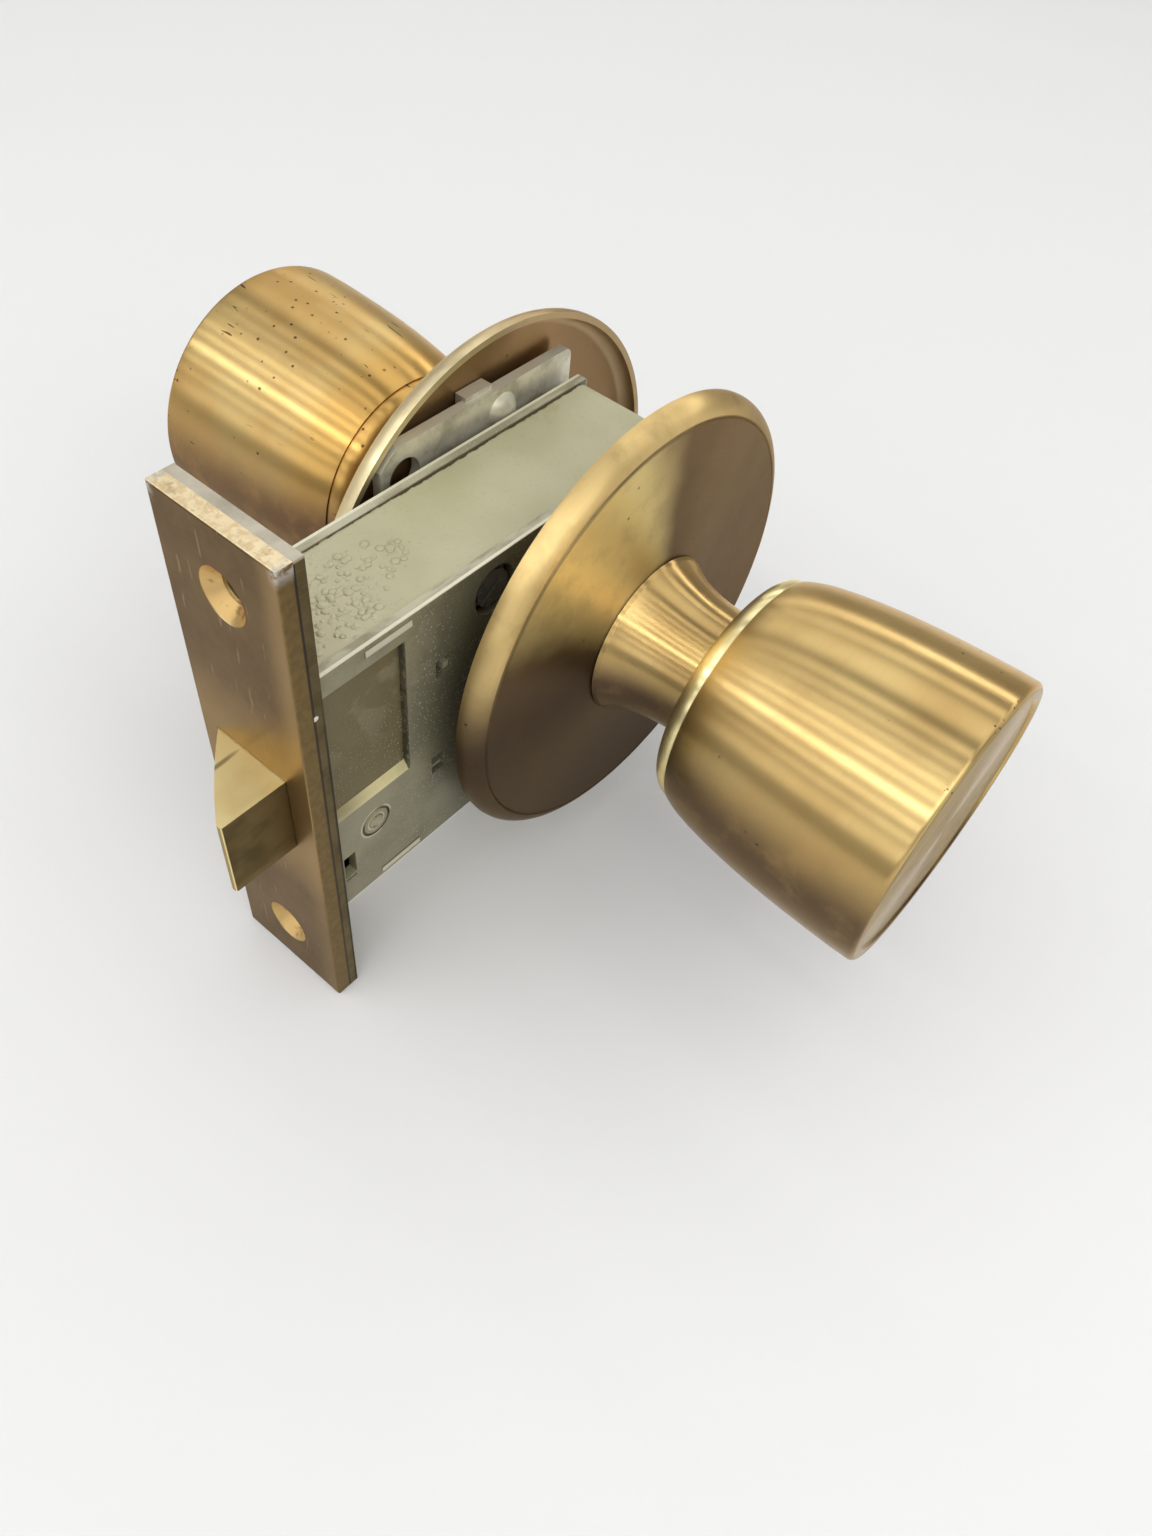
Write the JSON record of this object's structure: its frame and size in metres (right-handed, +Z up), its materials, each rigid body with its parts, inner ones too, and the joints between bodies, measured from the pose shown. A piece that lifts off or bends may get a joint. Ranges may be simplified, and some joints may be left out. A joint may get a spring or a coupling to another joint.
{
  "type": "mortise latch lockset",
  "caption": "Mortise latch lockset: a flat case behind a narrow brass front with a bevelled spring latch, and a rose and a swelled knob on each side that draw the latch back.",
  "frame": {"origin": "middle of the front's back face, which seats on the door's edge, halfway between its two screw holes", "axes": "+X into the door, +Y along the knob axis to the rear knob, +Z up along the front"},
  "size_m": [0.1288, 0.1678, 0.108],
  "materials": {
    "brass_front": "worn",
    "bronze": "satin",
    "latch_brass": "polished",
    "case_paint": "aged",
    "case_dark": "aged",
    "steel": "worn",
    "spring": "satin"
  },
  "bodies": {
    "case": {"armor_front": "brass_front", "inner_front": "steel", "case_side_plate": "case_paint", "case_cap": "case_dark", "case_band": "case_paint", "case_rivets": "steel", "fixing_posts": "steel", "fixing_screws": "steel", "latch_guides": "steel", "front_collar": "steel", "rear_collar": "steel", "front_mounting_plate": "steel", "rear_mounting_plate": "steel", "front_plate_rivets": "steel", "rear_plate_rivets": "steel", "front_rose": "bronze", "rear_rose": "bronze"},
    "knobs": {"front_knob_shell": "bronze", "front_knob_back": "bronze", "front_knob_shank": "bronze", "rear_knob_shell": "bronze", "rear_knob_back": "bronze", "rear_knob_shank": "bronze", "knob_set_screws": "steel", "spindle": "steel", "hub": "steel"},
    "retractor": {"retractor": "steel", "retractor_springs": "spring"},
    "latch": {"latch_head": "latch_brass", "latch_tail": "steel", "latch_spring": "spring"}
  },
  "joints": [
    {"name": "knob_turn", "type": "hinge", "parent": "case", "child": "knobs", "pos_m": [0.0668, 0, 0.001], "axis": [0, 1, 0], "range_deg": [0, 52]},
    {"name": "retractor_slide", "type": "slide", "parent": "case", "child": "retractor", "axis": [1, 0, 0], "range_m": [0, 0.0127], "stiffness_N_per_m": 700, "springref_m": -0.006, "deforming": ["retractor_springs"]},
    {"name": "latch_slide", "type": "slide", "parent": "retractor", "child": "latch", "axis": [1, 0, 0], "range_m": [0, 0.0125], "stiffness_N_per_m": 350, "springref_m": -0.006, "deforming": ["latch_spring"]}
  ],
  "couplings": [
    {"joint": "knob_turn", "follows": "retractor_slide", "rad_per_m": 71.429}
  ]
}
